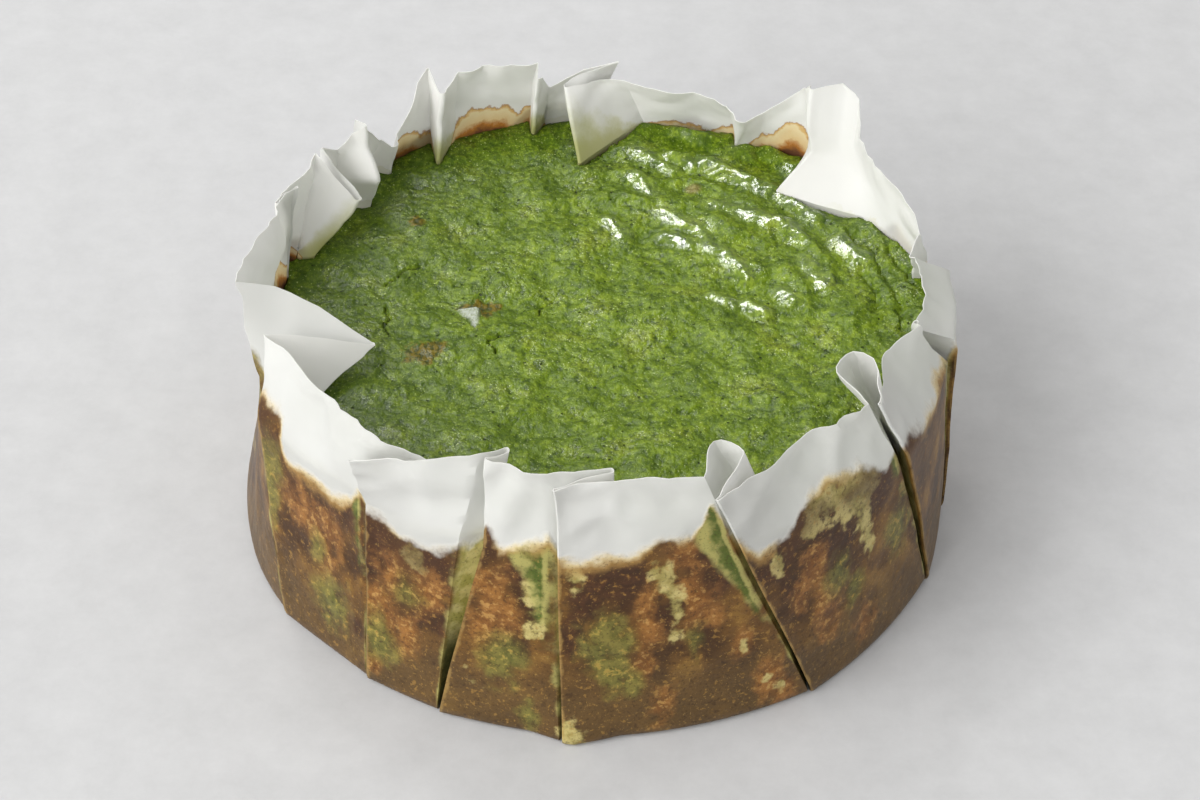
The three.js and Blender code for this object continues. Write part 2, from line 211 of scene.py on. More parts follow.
# Creases that catch the light in the free paper: angle, height, lean from upright, half width, reach, depth
CREASES = [
    (238, 56, 55, 7, 14, 0.7), (246, 53, -80, 5, 12, -0.6), (256.5, 58, 22, 4.5, 14, 1.4),
    (268, 58, 8, 12, 16, -0.5), (278, 58, -15, 9, 16, 0.5), (293, 56, 30, 7, 12, 0.7),
    (303, 57, 60, 8, 16, -0.8), (310, 55, 25, 5, 12, 0.8), (325, 57, -30, 7, 14, 0.9),
    (335, 56, 20, 7, 14, -0.7), (225, 55, -25, 6, 14, 0.8), (205, 58, 35, 8, 14, -0.9),
    (190, 57, -15, 9, 16, 0.9), (178, 56, 20, 8, 16, -0.8), (168, 57, -30, 8, 14, 0.7),
    (110, 57, 25, 8, 14, 0.7), (90, 56, 30, 8, 14, 0.8), (80, 55, -25, 9, 14, -0.7),
    (72, 54, 15, 6, 12, 0.6), (32, 57, 30, 7, 14, -0.8),
]
# How far round a crease reaches in degrees, and how fast it deepens along itself and above the cake
CREASE_SPAN = 25
CREASE_EASE = 1.6
CREASE_RISE = 3


def mix(a, b, share):
    return a + (b - a) * share


def ease(share):
    share = np.clip(share, 0, 1)
    return share * share * (3 - 2 * share)


def polar(angle, radius):
    return cmath.rect(radius, math.radians(angle))


def angle_from(start, angle):
    """Degrees from one angle to another the short way round."""
    return (angle - start + 180) % 360 - 180


def fold_line(stations, share):
    """Angle and radius of a fold line at a share of the rim's height; stations hold all three."""
    shares, angles, radii = zip(*stations)
    return float(np.interp(share, shares, angles)), float(np.interp(share, shares, radii))


def pleat_at(pleat, share):
    """Angle and radius of a pleat's mouth, tip and edge at a share of the rim's height."""
    half = math.degrees(FOOT_GAP / WALL_RADIUS) / 2
    foot = pleat["foot"]
    inner = WALL_RADIUS - TUCK
    straight = ((mix(foot, pleat["mouth"][0], TURN) - half, inner - WALL_LEAN),
                (mix(foot, pleat["edge"][0], TURN) + half, WALL_RADIUS - WALL_LEAN))
    mouth_up, edge_up = pleat.get("open", straight)
    sweep = FOOT_SHARE * max(0, pleat["notch"][0] - edge_up[0])
    reach = FOOT_DEPTH + FOOT_SHARE * (inner - pleat["notch"][1])
    lines = {
        "mouth": [(0, foot - half, WALL_RADIUS - FOOT_TUCK), (TURN, *mouth_up)],
        "tip": [(0, foot + sweep, WALL_RADIUS - FOOT_TUCK - reach), (TURN, *pleat["notch"])],
        "edge": [(0, foot + half, WALL_RADIUS), (TURN, *edge_up)],
    }
    for name, (angle, radius, up) in pleat.get("bends", {}).items():
        lines[name].append((mix(TURN, 1, up), angle, radius))
    return [fold_line(line + [(1, *pleat[name][:2])], share) for name, line in lines.items()]


def rounded_corner(before, corner, after, left, width, steps):
    """Points round a folded edge of that width; left says that the sheet turns left there."""
    arriving = (corner - before) / abs(corner - before)
    leaving = (after - corner) / abs(after - corner)
    back = leaving - arriving
    back /= abs(back)
    along = back * (-1j if left else 1j)
    points = []
    for step in range(steps):
        turn = math.pi * step / (steps - 1)
        inward = NOSE_SET - NOSE_BULGE * math.sin(turn)
        points.append(corner - along * width / 2 * math.cos(turn) + back * width * inward)
    return points


def panel_steps(index):
    """How many columns the panel after a pleat gets."""
    edge = pleat_at(PLEATS[index], TURN)[2]
    mouth = pleat_at(PLEATS[(index + 1) % len(PLEATS)], TURN)[0]
    width = math.radians((mouth[0] - edge[0]) % 360) * WALL_RADIUS
    return max(LEAST_STEPS, round(width / PANEL_STEP))


def panel_points(index, folds, share, collar):
    """The panel after a pleat at one height, and the mouth of the next pleat, where it ends."""
    pleat = PLEATS[index]
    following = PLEATS[(index + 1) % len(PLEATS)]
    edge_angle, edge_radius = folds[index][2]
    next_angle, next_radius = folds[(index + 1) % len(PLEATS)][0]
    if next_angle < edge_angle - 180:
        next_angle += 360
    edge = polar(edge_angle, edge_radius)
    far = polar(next_angle, next_radius)
    flat = WALL_FLAT * min(1, FLAT_SPAN / max(1, next_angle - edge_angle))
    flat = mix(flat, 1, ease(collar))
    strip = following.get("strip", STRIP) * mix(-STRIP_FOOT, 1, share / TURN)
    steps = panel_steps(index)
    points = []
    for step in range(1, steps):
        across = step / steps
        around = polar(mix(edge_angle, next_angle, across), mix(edge_radius, next_radius, across))
        place = mix(around, mix(edge, far, across), flat)
        bulge = pleat.get("bow", 0) * 4 * across * (1 - across) * collar
        place += place / abs(place) * bulge
        rise = mix(pleat["edge"][2], following["mouth"][2], across)
        seam = abs(far - place)
        points.append((place, rise, strip - seam, seam, abs(place - edge), 0.0, TINT, 0.0))
    return points, far


def pleat_points(pleat, fold, after, far, collar):
    """A pleat at one height: in from its mouth, round its tip, out again and round its edge. after is the
    panel's first point and far its end."""
    mouth, tip, edge = (polar(*line) for line in fold)
    mouth_rise, tip_rise, edge_rise = (pleat[name][2] for name in ("mouth", "tip", "edge"))
    tint = pleat.get("tint", TINT)
    clean = pleat.get("clean", CLEAN)
    tips = rounded_corner(mouth, tip, edge, False, mix(FOLD, pleat["loop"], ease(collar)), TIP_STEPS)
    edges = rounded_corner(tip, edge, after, True, FOLD, EDGE_STEPS)
    unmarked = (0.0, FAR_OFF, FAR_OFF)
    points = []
    for step in range(FIN_STEPS):
        across = step / FIN_STEPS
        place = mix(mouth, tips[0], across)
        rise = mix(mouth_rise, tip_rise, across)
        if "lip" in pleat:
            middle = min(1, LIP_RISE * across) * min(1, LIP_RISE * (1 - across)) * collar
            straight = (polar(*pleat["mouth"][:2]) + polar(*pleat["tip"][:2])) / 2
            place += (polar(*pleat["lip"][:2]) - straight) * middle
            rise += (pleat["lip"][2] - (mouth_rise + tip_rise) / 2) * middle
        held = clean * ease(2 * across)
        points.append((place, rise, *unmarked, across, mix(TINT, tint, across), held))
    points += [(place, tip_rise, *unmarked, 1.0, tint, clean) for place in tips[:-1]]
    for step in range(FIN_STEPS):
        across = step / FIN_STEPS
        place = mix(tips[-1], edges[0], across)
        rise = mix(tip_rise, edge_rise, across)
        held = clean * ease(2 - 2 * across)
        points.append((place, rise, *unmarked, 1 - across, mix(tint, TINT, across), held))
    points += [(place, edge_rise, -FAR_OFF, abs(far - place), 0.0, 0.0, TINT, 0.0) for place in edges]
    return points


def sheet_row(share):
    """The sheet at one height, and how far up the free paper that is. Each point has its place in plan, rise
    of the rim, depth in the strip before the next seam, distances to that seam and from the last fold, share
    of fin, height of its tint and how far down its stain stays."""
    collar = max(0.0, (share * RIM_HEIGHT - SHOULDER) / (RIM_HEIGHT - SHOULDER))
    folds = [pleat_at(pleat, share) for pleat in PLEATS]
    row = []
    for index, pleat in enumerate(PLEATS):
        panel, far = panel_points(index, folds, share, collar)
        row += pleat_points(pleat, folds[index], panel[0][0], far, collar)
        row += panel
    return row, collar


def drift(place):
    """A smooth noise in three directions, the same in each run, which noise.noise_vector isn't."""
    return Vector([noise.noise(place + shift) for shift in DRIFT_SHIFTS])


def crumpled(place, collar):
    """A point of the paper moved by its creases and by a slow drift; the foot and the wall stay calm."""
    angle = math.atan2(place.y, place.x)
    turned = math.degrees(angle)
    outward = Vector((math.cos(angle), math.sin(angle), 0))
    moved = place.copy()
    calm = min(1.0, place.z / CALM_HEIGHT)
    moved += drift(place / DRIFT_SIZE) * mix(*DRIFT_DEPTHS, collar) * calm
    facets = FACET_LEVEL - abs(noise.noise(place / FACET_SIZE + FACET_SHIFT))
    facets -= SMALL_FACET_SHARE * abs(noise.noise(place / SMALL_FACET_SIZE))
    moved += outward * facets * mix(*FACET_DEPTHS, collar) * calm
    low = 1 - min(1.0, place.z / FOOT_RISE)
    moved -= outward * FOOT_ROUND * (1 - math.sqrt(1 - low * low))
    toe_angle, toe_half, toe_height, toe_depth = TOE
    toe = max(0.0, 1 - abs(angle_from(toe_angle, turned)) / toe_half)
    moved += outward * toe_depth * toe * max(0.0, 1 - place.z / toe_height)
    swell_angle, swell_half, swell_depth = SWELL
    swell = ease(SWELL_START * (1 - abs(angle_from(swell_angle, turned)) / swell_half))
    moved += outward * swell_depth * swell * (1 - ease(SWELL_FADE * collar))
    for crease_angle, height, lean, half_width, reach, depth in CREASES:
        away = angle_from(crease_angle, turned)
        if abs(away) > CREASE_SPAN:
            continue
        along = math.radians(away) * WALL_RADIUS
        rise = place.z - height
        slant = math.radians(lean)
        off = along * math.cos(slant) - rise * math.sin(slant)
        run = along * math.sin(slant) + rise * math.cos(slant)
        tent = max(0.0, 1 - abs(off) / half_width) * ease(CREASE_EASE * (1 - abs(run) / reach))
        moved += outward * depth * tent * min(1, CREASE_RISE * collar)
    return moved


def spots_near(angles, heights, spots):
    """How deep each point lies in the nearest spot: 1 in its middle, 0 at its edge, below 0 outside."""
    depth = np.full(len(angles), -1.0)
    for angle, height, size in spots:
        across = np.radians(angle_from(angle, angles)) * WALL_RADIUS
        depth = np.maximum(depth, 1 - np.hypot(across, SPOT_SLIM * (heights - height)) / size)
    return depth


def hidden_spots(seed, count, least, most):
    """Spots between two sizes for the side that the photograph doesn't show, drawn at random."""
    draw = np.random.RandomState(seed)
    return [(draw.uniform(*HIDDEN_SIDE), draw.uniform(*HIDDEN_HEIGHTS), draw.uniform(least, most))
            for _ in range(count)]


def sheet_grid():
    """Places of the sheet's points, row by row, with what each material needs to know there."""
    shares = [TURN * (row / WALL_ROWS) ** ROW_CROWDING for row in range(WALL_ROWS)]
    shares += [mix(TURN, 1, row / COLLAR_ROWS) for row in range(COLLAR_ROWS + 1)]
    places, facts = [], []
    for share in shares:
        row, collar = sheet_row(share)
        for point, rise, *fact in row:
            place = Vector((point.real, point.imag, share * RIM_HEIGHT + rise * collar))
            places.append(tuple(crumpled(place, collar)))
            facts.append(fact)
    places = np.array(places)
    angles = np.degrees(np.arctan2(places[:, 1], places[:, 0])) % 360
    heights = places[:, 2]
    known = dict(zip(("strip", "seam", "fold", "fin", "tint", "clean"), np.array(facts).T))
    stain_angles, stain_heights = zip(*STAIN_LINE, (360, STAIN_LINE[0][1]))
    known["soak"] = np.interp(angles, stain_angles, stain_heights) - heights - known.pop("clean")
    residue = np.full(len(places), -FAR_OFF)
    for angle, half_width, height in RESIDUE:
        near = 1 - (angle_from(angle, angles) / half_width) ** 2
        residue = np.maximum(residue, near * height - (heights - SHOULDER))
    known["residue"] = residue - FIN_RESIDUE * known["fin"]
    for name, shown, seed, count, least, most in (
            ("pale", PALE_SPOTS, 11, 44, 0.8, 2.8), ("green", GREEN_SPOTS, 12, 24, 2.6, 4.6),
            ("rust", RUST_SPOTS, 13, 46, 3, 5), ("dark", DARK_SPOTS, 14, 40, 3, 5)):
        known[name] = spots_near(angles, heights, shown + hidden_spots(seed, count, least, most))
    return places, known, len(shares)


def clear_selection():
    bpy.ops.object.select_all(action="DESELECT")


def set_attribute(mesh, name, values):
    layer = mesh.attributes.new(name, "FLOAT", "POINT")
    layer.data.foreach_set("value", np.asarray(values, dtype=np.float32))


def read_places(mesh):
    flat = np.zeros(len(mesh.vertices) * 3)
    mesh.vertices.foreach_get("co", flat)
    return flat.reshape(-1, 3)


def close_shell():
    """Closes the chosen open edge with a face, turns all faces outwards and leaves edit mode."""
    bpy.ops.mesh.edge_face_add()
    bpy.ops.mesh.select_all(action="SELECT")
    bpy.ops.mesh.normals_make_consistent(inside=False)
    bpy.ops.object.mode_set(mode="OBJECT")


def make_paper_case(places, known, rows):
    """The sheet: a grid rolled into the pleated wall, closed by its floor and given its thickness."""
    columns = len(places) // rows
    clear_selection()
    bpy.ops.mesh.primitive_grid_add(x_subdivisions=columns, y_subdivisions=rows - 1, size=2)
    case = bpy.context.object
    case.name = "paper_case_sheet"
    mesh = case.data
    flat = read_places(mesh)
    column = np.rint((flat[:, 0] + 1) / 2 * columns).astype(int) % columns
    row = np.rint((flat[:, 1] + 1) / 2 * (rows - 1)).astype(int)
    order = row * columns + column
    mesh.vertices.foreach_set("co", (places[order] * MM).ravel())
    for name, values in known.items():
        set_attribute(mesh, name, values[order])
    bpy.ops.object.mode_set(mode="EDIT")
    bpy.ops.mesh.select_mode(type="VERT")
    bpy.ops.mesh.select_all(action="SELECT")
    bpy.ops.mesh.remove_doubles(threshold=SAME_PLACE)
    bpy.ops.mesh.select_all(action="DESELECT")
    bpy.ops.object.mode_set(mode="OBJECT")
    mesh.vertices.foreach_set("select", read_places(mesh)[:, 2] < ON_FLOOR * MM)
    bpy.ops.object.mode_set(mode="EDIT")
    close_shell()
    for material in (parchment_outside(), parchment_inside()):
        mesh.materials.append(material)
    solid = case.modifiers.new("thickness", "SOLIDIFY")
    solid.thickness = PAPER * MM
    solid.offset = -1
    solid.material_offset = 1
    solid.material_offset_rim = 1
    bpy.ops.object.modifier_apply(modifier=solid.name)
    return case


# The cake: height of its edge, hollow of its top, its underside, the step of its skin's grid, and the rows
# of the sheet that its wall follows, from the top down
CAKE_LEVEL = 47.0
HOLLOW = 1.4
HOLLOW_REACH = 72
CAKE_FOOT = 0.5
SKIN_STEP = 0.5
CAKE_ROWS = (24, 18, 12, 6, 1)
# How much of a step the skin's grid reaches past the gap to the paper before it is drawn in
GRID_REACH = 0.55
# How deep the skin dips at the paper, and from how far in
EDGE_DIP = 0.5
EDGE_WIDTH = 1.5
# Painted shade on the skin, a darker and greyer green with a greyish painted sheen, most to the left and
# less so to the front and back: shares of both ways, start and span
PAINTED_SHADE_LEFT = 0.9
PAINTED_SHADE_SIDES = 0.4
PAINTED_SHADE_START = 12
PAINTED_SHADE_SPAN = 60
# Lumps of the skin: size and height
SKIN_LUMPS = [(15, 0.9), (6.5, 0.75), (3.1, 0.36), (1.6, 0.11)]
# How far, and over which size, the lines below wander off, sideways and forward at two places in one noise
SHAKE = 1.2
SHAKE_SIZE = 2.6
SHAKE_SHIFTS = (1.3, 8.1)
# Cracks, and shallower grooves along the paper on the right
CRACK_DEPTH = 0.8
CRACK_HALF = 0.5
CRACKS = [
    [complex(-44, 3.4), complex(-43.2, 0.5), complex(-44.3, -2.5), complex(-43.6, -5.8)],
    [complex(-20.2, -4.6), complex(-22.5, -6.7), complex(-21, -10.2)],
    [complex(-38, 17), complex(-41, 15.6), complex(-44.5, 11)],
    [complex(-10, 8), complex(-12.5, 6), complex(-13, 3)],
    [polar(95, 53.4), polar(91, 58), polar(87, 63.5), polar(83.5, 68)],
]
GROOVES = [
    [polar(31, 61), polar(24, 62.2), polar(16, 61.6), polar(8, 61.8), polar(359, 61.3)],
    [polar(25, 65.3), polar(18, 65), polar(11, 66)],
    [polar(20, 57.5), polar(12, 58.2), polar(5, 57)],
]
GROOVE_DEPTH = 0.7
GROOVE_HALF = 1.2
# The skin has gathered on one side, in ripples round the middle and in the wrinkles that catch the light.
# The ripples start that far out and wander by lumps of a size and depth, and are lower in patches.
GATHERED_SIDE = 50
GATHER_FADE = 1.5
GATHER_START = 16
GATHER_SPAN = 30
GATHER_STEP = 8.5
GATHER_HEIGHT = 1.15
GATHER_LUMPS = [(13, 3.4), (5, 1.3)]
PATCH_LEAST = 0.3
PATCH_EDGE = 1.4
PATCH_SIZE = 9
PATCH_SHIFT = 3.7
# The wrinkles are wet and stretched
WET_START = 0.3
WET_EDGE = 1.2
WRINKLE_HEIGHT = 0.85
WRINKLE_HALF = 2.6
STRETCHED = 0.65
WRINKLES = [[complex(x, y) for x, y in path] for path in (
    [(7.5, 58.5), (12, 55), (14.5, 53.2)],
    [(15, 57), (19.5, 54), (24, 56)],
    [(24.5, 52.2), (29.2, 50), (34, 46.5), (37.2, 45.2), (41.3, 41.3), (45.4, 36)],
    [(16.9, 66.3), (21.3, 63.8)],
    [(29, 60), (31.6, 58.4)],
    [(36.5, 59.3), (39.2, 56.1), (41.2, 53)],
    [(13, 37.6), (16.6, 34.2), (20.8, 31.8), (22.3, 25.3), (26, 23.1), (30.5, 14.7)],
    [(1.2, 34.6), (4.4, 29.4)],
    [(7, 50.2), (9.7, 44.7)],
    [(13.9, 29.7), (17.6, 27.1)],
    [(23.1, 40.6), (26.8, 38.9), (31.6, 36.8), (37.3, 34)],
    [(42.1, 20.9), (44.6, 16.7), (46.5, 12.6)],
    [(49.8, 28.1), (52.3, 24.7), (54.7, 20.4)],
    [(23.6, 9.4), (27.2, 7)],
    [(30.3, 7.1), (33.3, 4.3)],
    [(37.6, 10.7), (39.6, 8.2)],
    [(39.5, 34), (41.4, 28.7)],
)]
# Spots that have baked amber and one that is rosy: middle and size
AMBER_SPOTS = [(complex(-27.8, 4.3), 2.2), (complex(-25.4, 5.2), 2.7), (complex(-22.6, 5), 2.5),
               (complex(-23.4, 2.6), 1.6), (complex(-36, -11.5), 4.2), (complex(-33, -9.5), 3),
               (complex(-39.3, 31.5), 2.5)]
PINK_SPOTS = [(complex(19.3, 45.8), 2.4)]
# A popped blister, whose facet is painted pale as a highlight: its middle, the directions and reaches of its
# three sides, how deep it lies, the angle that it is tilted by and rises towards, and how ragged and how
# sharp its edge is
BLISTER = complex(-26.9, 1.3)
BLISTER_SIDES = [(0, 1.9), (90, 2.4), (219, 1.1)]
BLISTER_DEPTH = 0.6
BLISTER_TILT = 16
BLISTER_RISE = 46.6
BLISTER_SHAKE = 0.6
BLISTER_EDGE = 1.6
# The shortest length that is divided by
TINY = 1e-9


def outline_distance(points, outline):
    """Distance of plan points to a closed outline, positive inside, and where on it the nearest point is."""
    best = np.full(len(points), np.inf)
    where = np.zeros(len(points))
    inside = np.zeros(len(points), dtype=bool)
    for index, (start, end) in enumerate(zip(outline, np.roll(outline, -1))):
        run = end - start
        share = np.clip(((points - start) * np.conj(run)).real / max(abs(run), TINY) ** 2, 0, 1)
        gap = abs(points - start - share * run)
        closer = gap < best
        best[closer] = gap[closer]
        where[closer] = index + share[closer]
        if start.imag != end.imag:
            at = start.real + (points.imag - start.imag) * run.real / run.imag
            inside ^= ((start.imag > points.imag) != (end.imag > points.imag)) & (points.real < at)
    return np.where(inside, best, -best), where


def inside_of(ring, where, gap):
    """Points that far inside a ring of the sheet, at places along it."""
    count = len(ring)
    index = np.floor(where).astype(int) % count
    start, end = ring[index], ring[(index + 1) % count]
    run = end - start
    return start + run * (where % 1) + 1j * run / np.maximum(abs(run), TINY) * gap


def lumps(plan, size, shift=0.0):
    """Smooth noise at plan points, with lumps of that many millimetres."""
    places = zip(plan.real / size + shift, plan.imag / size - shift)
    return np.array([noise.noise((x, y, shift)) for x, y in places])


def path_distance(plan, path):
    """Distance of plan points to a path."""
    least = np.full(len(plan), np.inf)
    for start, end in zip(path, path[1:]):
        run = end - start
        share = np.clip(((plan - start) * run.conjugate()).real / abs(run) ** 2, 0, 1)
        least = np.minimum(least, abs(plan - start - share * run))
    return least


def near_paths(plan, paths, half):
    """How near plan points are to any of some paths: 1 on it, and 0 at that distance from it."""
    return np.max([1 - path_distance(plan, path) / half for path in paths], axis=0)


def skin_levels(plan):
    """Heights of the cake's skin over plan points, how wet and cracked it is there, and where the blister
    lies that is painted pale as a highlight.
    """
    radius = abs(plan)
    level = CAKE_LEVEL - HOLLOW * (1 - ease(radius / HOLLOW_REACH))
    gathered = np.clip(np.cos(np.angle(plan) - math.radians(GATHERED_SIDE)), 0, 1) ** GATHER_FADE
    gathered *= ease((radius - GATHER_START) / GATHER_SPAN)
    gathered *= mix(PATCH_LEAST, 1, ease(0.5 + PATCH_EDGE * lumps(plan, PATCH_SIZE, PATCH_SHIFT)))
    wave = radius + sum(depth * lumps(plan, size) for size, depth in GATHER_LUMPS)
    level += GATHER_HEIGHT * gathered * (1 - abs(np.sin(np.pi * wave / GATHER_STEP)))
    sideways, forward = (lumps(plan, SHAKE_SIZE, shift) for shift in SHAKE_SHIFTS)
    shaken = plan + SHAKE * (sideways + 1j * forward)
    wrinkled = near_paths(shaken, WRINKLES, WRINKLE_HALF)
    cracked = ease(near_paths(shaken, CRACKS, CRACK_HALF))
    sunk = ease(near_paths(shaken, GROOVES, GROOVE_HALF))
    wet = ease(WET_EDGE * wrinkled + WET_START)
    for size, height in SKIN_LUMPS:
        level += height * lumps(plan, size, size) * (1 - STRETCHED * wet)
    level += WRINKLE_HEIGHT * np.clip(wrinkled, 0, 1) - CRACK_DEPTH * cracked - GROOVE_DEPTH * sunk
    slope = math.tan(math.radians(BLISTER_TILT))
    facet = CAKE_LEVEL - BLISTER_DEPTH + slope * ((plan - BLISTER) * polar(-BLISTER_RISE, 1)).real
    near = plan + BLISTER_SHAKE * (shaken - plan) - BLISTER
    within = np.min([reach - (near * polar(-side, 1)).real for side, reach in BLISTER_SIDES], axis=0)
    torn = ease(0.5 + BLISTER_EDGE * within)
    return mix(level, facet, torn), wet, cracked, torn


def main_patch(cells):
    """Drops cells that hang on by a corner or an end, and then all but the patch in the middle."""
    while True:
        padded = np.pad(cells, 1)
        beside = padded[2:, 1:-1].astype(int) + padded[:-2, 1:-1] + padded[1:-1, 2:] + padded[1:-1, :-2]
        spare = cells & (beside < 2)
        a, b, c, d = cells[:-1, :-1], cells[1:, :-1], cells[:-1, 1:], cells[1:, 1:]
        spare[:-1, :-1] |= a & d & ~b & ~c
        spare[1:, :-1] |= b & c & ~a & ~d
        if not spare.any():
            break
        cells &= ~spare
    middle = tuple(side // 2 for side in cells.shape)
    found = np.zeros_like(cells)
    found[middle] = True
    reached = [middle]
    while reached:
        i, j = reached.pop()
        for cell in ((i + 1, j), (i - 1, j), (i, j + 1), (i, j - 1)):
            if 0 <= min(cell) and max(cell) < len(cells) and cells[cell] and not found[cell]:
                found[cell] = True
                reached.append(cell)
    return found


def draw_wall_down(mesh, rings, levels):
    """Extrudes the skin's open edge down along the inside of the paper, row by row."""
    for row in CAKE_ROWS:
        bpy.ops.mesh.extrude_region_move(TRANSFORM_OT_translate={"value": (0, 0, 0)})
        bpy.ops.object.mode_set(mode="OBJECT")
        chosen = np.zeros(len(mesh.vertices), dtype=bool)
        mesh.vertices.foreach_get("select", chosen)
        wheres = np.zeros(len(mesh.vertices), dtype=np.float32)
        mesh.attributes["where"].data.foreach_get("value", wheres)
        moved = read_places(mesh)
        plan = inside_of(rings[row], wheres[chosen].astype(float), CAKE_GAP) * MM
        moved[chosen, 0] = plan.real
        moved[chosen, 1] = plan.imag
        moved[chosen, 2] = max(CAKE_FOOT, levels[row]) * MM
        mesh.vertices.foreach_set("co", moved.ravel())
        bpy.ops.object.mode_set(mode="EDIT")


def make_cheesecake(places, rows):
    """The cake: a fine grid cut to the paper's inside, raised to the skin, with walls along the paper."""
    rings = (places[:, 0] + 1j * places[:, 1]).reshape(rows, -1)
    levels = places[:, 2].reshape(rows, -1).mean(axis=1)
    top_ring = rings[WALL_ROWS]
    count = round(2 * WALL_RADIUS / SKIN_STEP)
    clear_selection()
    bpy.ops.mesh.primitive_grid_add(x_subdivisions=count, y_subdivisions=count, size=count * SKIN_STEP * MM)
    cake = bpy.context.object
    cake.name = "cheesecake_whole"
    mesh = cake.data
    flat = read_places(mesh) / MM
    plan = flat[:, 0] + 1j * flat[:, 1]
    depth, where = outline_distance(plan, top_ring)
    column = np.rint(flat[:, 0] / SKIN_STEP + count / 2).astype(int)
    row = np.rint(flat[:, 1] / SKIN_STEP + count / 2).astype(int)
    kept = np.zeros((count + 1, count + 1), dtype=bool)
    kept[column, row] = depth > CAKE_GAP - GRID_REACH * SKIN_STEP
    cells = main_patch(kept[:-1, :-1] & kept[1:, :-1] & kept[:-1, 1:] & kept[1:, 1:])
    corners = np.pad(cells, 1)
    corners = corners[1:, 1:].astype(int) + corners[:-1, 1:] + corners[1:, :-1] + corners[:-1, :-1]
    used = (corners > 0)[column, row]
    boundary = used & (corners < 4)[column, row]
    plan[boundary] = inside_of(top_ring, where[boundary], CAKE_GAP)
    level, wet, cracked, torn = np.zeros((4, len(plan)))
    level[used], wet[used], cracked[used], torn[used] = skin_levels(plan[used])
    level -= EDGE_DIP * np.clip(1 - depth / EDGE_WIDTH, 0, 1) ** 2
    mesh.vertices.foreach_set("co", (np.stack([plan.real, plan.imag, level], axis=1) * MM).ravel())
    # How strongly painted shade darkens and greys the skin, most to the left
    painted_shade = (PAINTED_SHADE_SIDES * abs(plan.imag) - PAINTED_SHADE_LEFT * plan.real - PAINTED_SHADE_START) / PAINTED_SHADE_SPAN
    known = {"edge": np.clip(depth, 0, None), "painted_shade": np.clip(painted_shade, 0, 1), "where": where, "wet": wet,
             "crack": cracked, "torn": torn}
    for name, spots in (("amber", AMBER_SPOTS), ("pink", PINK_SPOTS)):
        known[name] = np.max([1 - abs(plan - spot) / size for spot, size in spots], axis=0)
    for name, values in known.items():
        set_attribute(mesh, name, values)
    bpy.ops.object.mode_set(mode="EDIT")
    bpy.ops.mesh.select_mode(type="FACE")
    bpy.ops.mesh.select_all(action="DESELECT")
    bpy.ops.object.mode_set(mode="OBJECT")
    sides = np.zeros(len(mesh.polygons) * 4, dtype=int)
    mesh.polygons.foreach_get("vertices", sides)
    sides = sides.reshape(-1, 4)
    gone = ~cells[column[sides].min(axis=1), row[sides].min(axis=1)]
    mesh.polygons.foreach_set("select", gone)
    bpy.ops.object.mode_set(mode="EDIT")
    bpy.ops.mesh.delete(type="FACE")
    bpy.ops.mesh.select_mode(type="EDGE")
    bpy.ops.mesh.select_all(action="DESELECT")
    bpy.ops.mesh.select_non_manifold()
    draw_wall_down(mesh, rings, levels)
    close_shell()
    mesh.materials.append(custard_skin())
    return cake


def linear(code):
    """An sRGB hex colour as linear RGBA."""
    channels = [int(code[at:at + 2], 16) / 255 for at in (1, 3, 5)]
    return [c / 12.92 if c <= 0.04045 else ((c + 0.055) / 1.055) ** 2.4 for c in channels] + [1.0]


def add_node(tree, kind, inputs, out=0, stops=(), **settings):
    """A shader node with its settings; each input is a value, a hex colour or another node's output."""
    made = tree.nodes.new("ShaderNode" + kind)
    for name, value in settings.items():
        setattr(made, name, value)
    for name, value in inputs.items():
        if isinstance(value, bpy.types.NodeSocket):
            tree.links.new(value, made.inputs[name])
        else:
            made.inputs[name].default_value = linear(value) if isinstance(value, str) else value
    if stops:
        ramp = made.color_ramp.elements
        for element, (position, code) in ((ramp[0], stops[0]), (ramp[-1], stops[-1])):
            element.position = position
            element.color = linear(code)
        for position, code in stops[1:-1]:
            ramp.new(position).color = linear(code)
    return made.outputs[out]


def per_mm(size):
    """Noise scale for lumps of that many millimetres."""
    return 1 / (size * MM)


# What the numbered inputs of shader nodes are: a MapRange node takes a value (0) from one range (1, 2) to
# another (3, 4), a Mix node lays one colour (7) over another (6) by a share (0), and a Math node so set
# scales a value (0) by another (1) and adds a third (2).
SOFT = dict(interpolation_type="SMOOTHSTEP")
PAINT = dict(out=2, data_type="RGBA")
SCALE_ADD = dict(operation="MULTIPLY_ADD")
# How see-through dry paper is, and how far the edges of its stains wander, in millimetres
SEE_THROUGH = 0.48
RAGGED = 7.0


def start_material(name, settings, marks=()):
    """A new material, its node tree, its main shader so set, the place on the piece and the marks there."""
    material = bpy.data.materials.new(name)
    material.use_nodes = True
    tree = material.node_tree
    shader = tree.nodes["Principled BSDF"]
    for socket, value in settings.items():
        shader.inputs[socket].default_value = value
    place = add_node(tree, "TexCoord", {}, out="Object")
    known = {mark: add_node(tree, "Attribute", {}, out="Fac", attribute_name=mark) for mark in marks}
    return material, tree, shader, place, known


def paint_over(tree, under, code, value, start, end, strength=1.0):
    """A colour laid over another: not at all where a value is at its start, and that strongly at its end."""
    share = add_node(tree, "MapRange", {0: value, 1: start, 2: end, 4: strength}, **SOFT)
    return add_node(tree, "Mix", {0: share, 6: under, 7: code}, **PAINT)


def let_light_through(tree, shader, colour, share):
    """Lets a share of the light through the paper, in that colour."""
    glow = add_node(tree, "BsdfTranslucent", {"Color": colour})
    both = add_node(tree, "MixShader", {0: share, 1: shader.outputs[0], 2: glow})
    tree.links.new(both, tree.nodes["Material Output"].inputs["Surface"])


